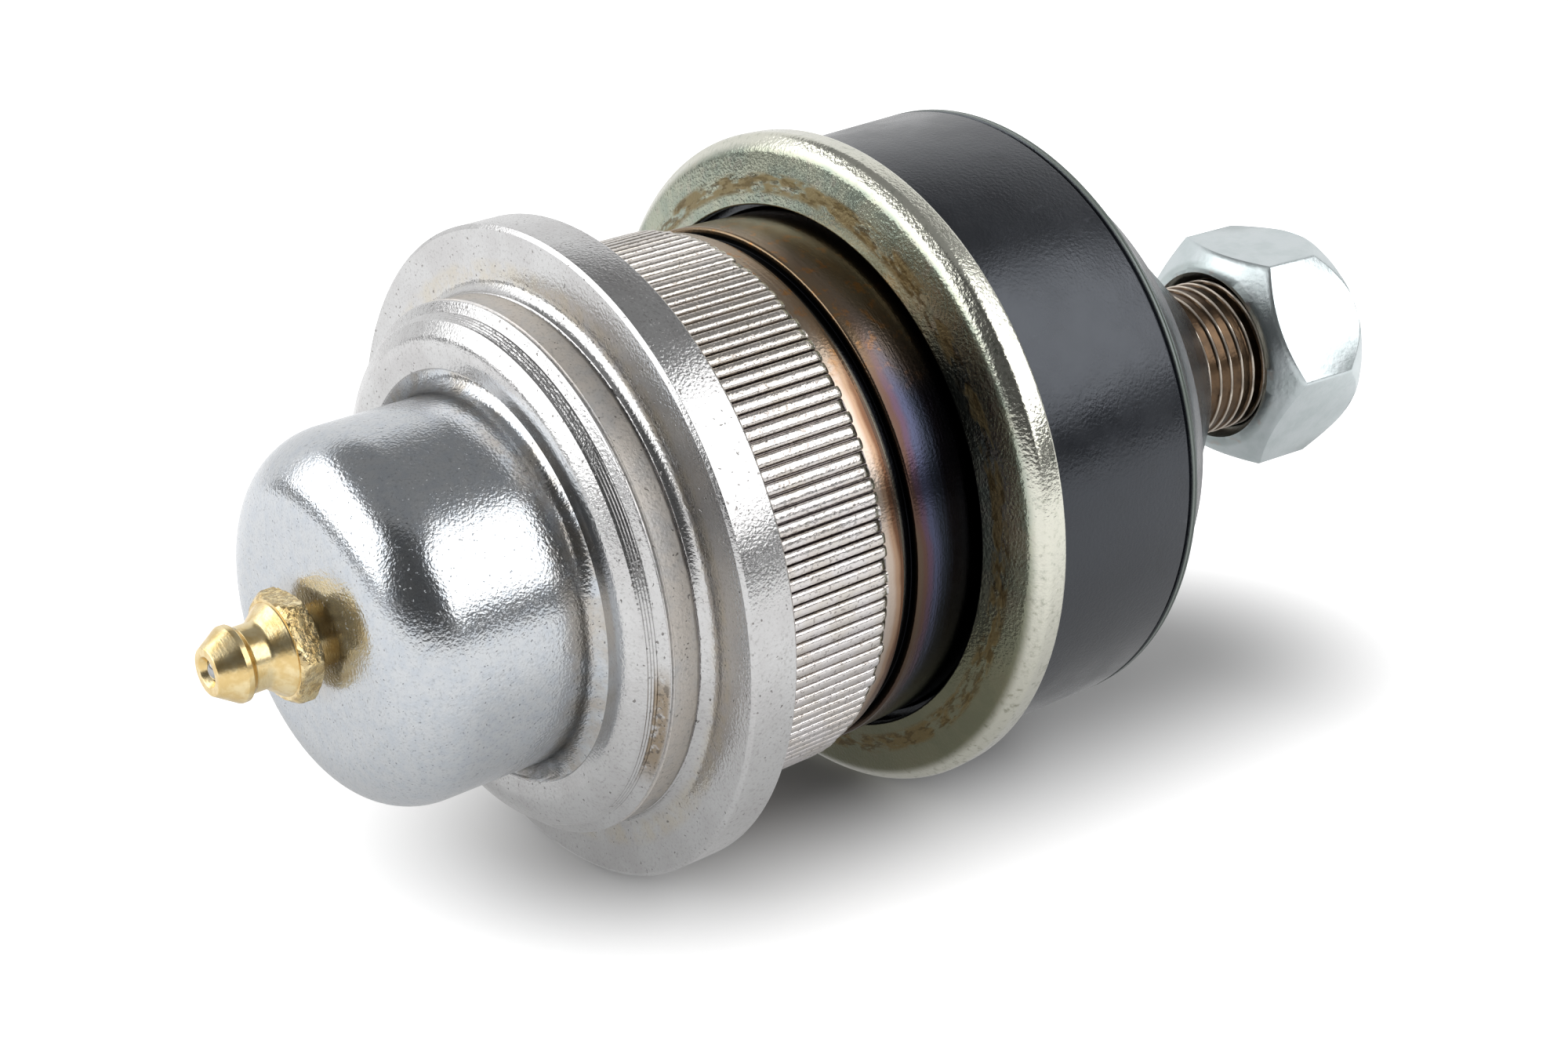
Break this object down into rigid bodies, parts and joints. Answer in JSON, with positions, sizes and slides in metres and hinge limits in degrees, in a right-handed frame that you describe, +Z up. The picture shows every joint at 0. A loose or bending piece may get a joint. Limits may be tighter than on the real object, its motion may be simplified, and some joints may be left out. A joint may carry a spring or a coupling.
{
  "type": "suspension ball joint",
  "caption": "Press-in suspension ball joint with a flanged serrated housing, domed cap, grease fitting, rubber boot and a swivelling threaded stud with hex nut.",
  "frame": {"origin": "centre of the ball, on the axis of the serrated press body", "axes": "+X along the housing's axis from the cap to the nut, +Z up, +Y by the right-hand rule; the stud rests leaning 5.46 degrees towards -Y"},
  "size_m": [0.1292, 0.0648, 0.0648],
  "materials": {
    "bright_steel": "turned and ground bare steel, heat-tinted at the neck",
    "bright_zinc": "pressed or forged steel with clear zinc plate",
    "brass": "bare turned brass",
    "bearing_steel": "hardened, ground and greased steel",
    "spring_steel": "oil-tempered spring wire",
    "forged_steel": "hardened forged steel with a rolled thread, coppery brown",
    "yellow_zinc": "pressed steel with olive-yellow passivated zinc",
    "black_rubber": "moulded black rubber with a satin sheen"
  },
  "bodies": {
    "socket": {"housing": "bright_steel", "cover_cap": "bright_zinc", "grease_fitting": "brass", "fitting_spring": "spring_steel", "preload_spring": "spring_steel", "boot_ring": "yellow_zinc", "dust_boot": "black_rubber"},
    "plate": {"pressure_plate": "bearing_steel"},
    "check_ball": {"fitting_check_ball": "bearing_steel"},
    "thrust_shell": {"thrust_bearing": "bearing_steel"},
    "throat_shell": {"throat_bearing": "bearing_steel"},
    "stud": {"ball_stud": "forged_steel", "stud_nut": "bright_zinc"}
  },
  "joints": [
    {"name": "plate_slide", "type": "slide", "parent": "socket", "child": "plate", "axis": [1, 0, 0], "range_m": [-0.0006, 0], "stiffness_N_per_m": 20000, "deforming": ["preload_spring"]},
    {"name": "check_ball_slide", "type": "slide", "parent": "socket", "child": "check_ball", "axis": [1, 0, 0], "range_m": [0, 0.001], "stiffness_N_per_m": 300, "deforming": ["fitting_spring"]},
    {"name": "stud_swing_level", "type": "hinge", "parent": "socket", "child": "thrust_shell", "pos_m": [0, 0, 0], "axis": [0, 0, 1], "range_deg": [-12.54, 23.46], "deforming": ["dust_boot"]},
    {"name": "stud_swing_upright", "type": "hinge", "parent": "thrust_shell", "child": "throat_shell", "pos_m": [0, 0, 0], "axis": [0.0952, 0.9955, 0], "range_deg": [-18, 18], "deforming": ["dust_boot"]},
    {"name": "stud_spin", "type": "hinge", "parent": "throat_shell", "child": "stud", "pos_m": [0, 0, 0], "axis": [0.9955, -0.0952, 0], "continuous": true, "deforming": ["dust_boot"]}
  ]
}
